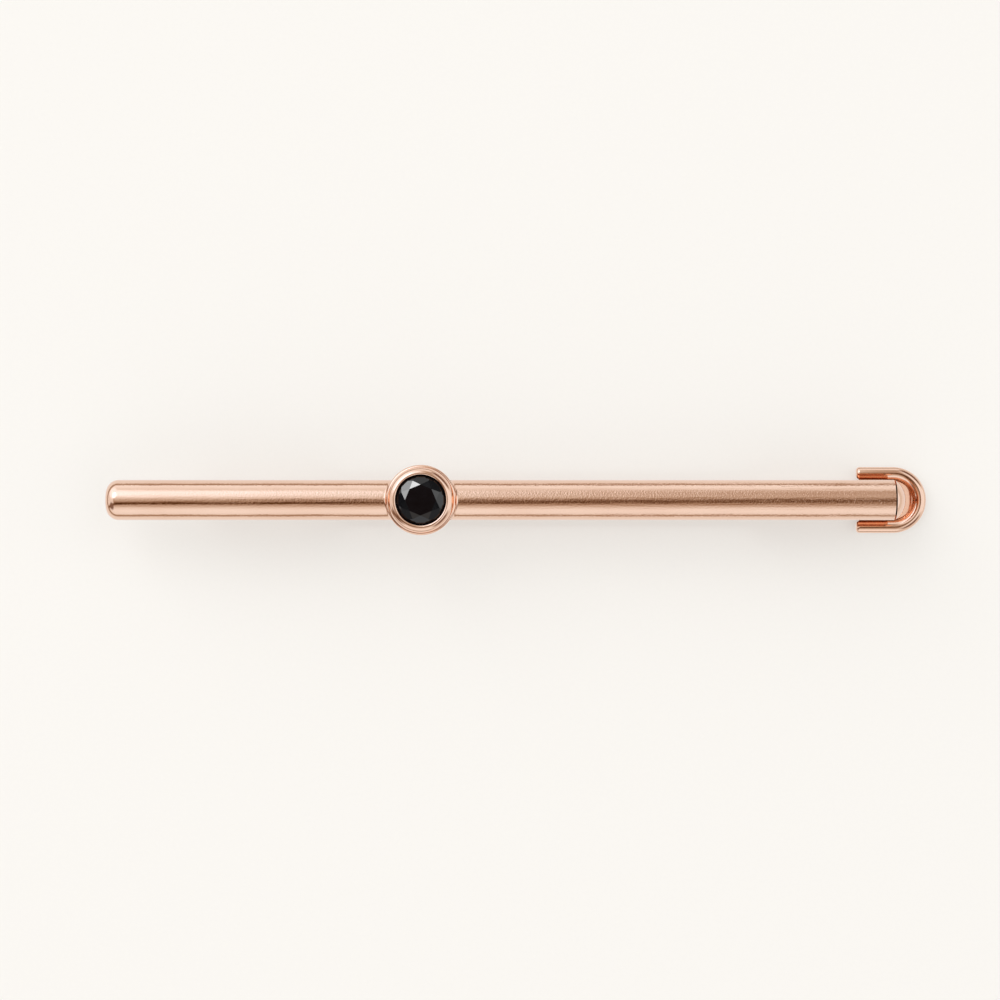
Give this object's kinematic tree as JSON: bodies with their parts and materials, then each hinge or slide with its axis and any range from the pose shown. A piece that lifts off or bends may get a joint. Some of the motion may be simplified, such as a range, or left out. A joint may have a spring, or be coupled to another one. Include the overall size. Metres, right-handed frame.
{
  "type": "tie bar",
  "caption": "Slim round tie bar in rose gold with a bezel-set faceted black stone, a sprung clip arm hinged behind it, and a wire loop at the tail to pinch it open.",
  "frame": {"origin": "under the middle of the part, on the plane that the back of the clip arm lies on", "axes": "+X along the bar from its plain end towards the thumb loop, +Z out of the stone's table, +Y across the bar"},
  "size_m": [0.0616, 0.0052, 0.0071],
  "materials": {
    "satin_rose_gold": "satin",
    "polished_rose_gold": "polished",
    "spring_steel": "satin",
    "black_stone": "polished"
  },
  "bodies": {
    "clip": {"clip_arm": "satin_rose_gold", "thumb_loop": "polished_rose_gold", "pivot_pin": "spring_steel"},
    "front_bar": {"bar_tube": "satin_rose_gold", "left_end_plug": "polished_rose_gold", "right_end_plug": "polished_rose_gold", "bezel_cup": "polished_rose_gold", "stone_bearing": "satin_rose_gold", "bezel_rivet": "satin_rose_gold", "stone": "black_stone", "hinge_bracket": "satin_rose_gold", "torsion_spring": "spring_steel"}
  },
  "joints": [
    {"name": "clip_hinge", "type": "hinge", "parent": "clip", "child": "front_bar", "pos_m": [0.01878, 0, 0.00144], "axis": [0, 1, 0], "range_deg": [0, 12], "stiffness_Nm_per_rad": 0.0054, "springref_deg": -85.94, "deforming": ["torsion_spring"]}
  ]
}
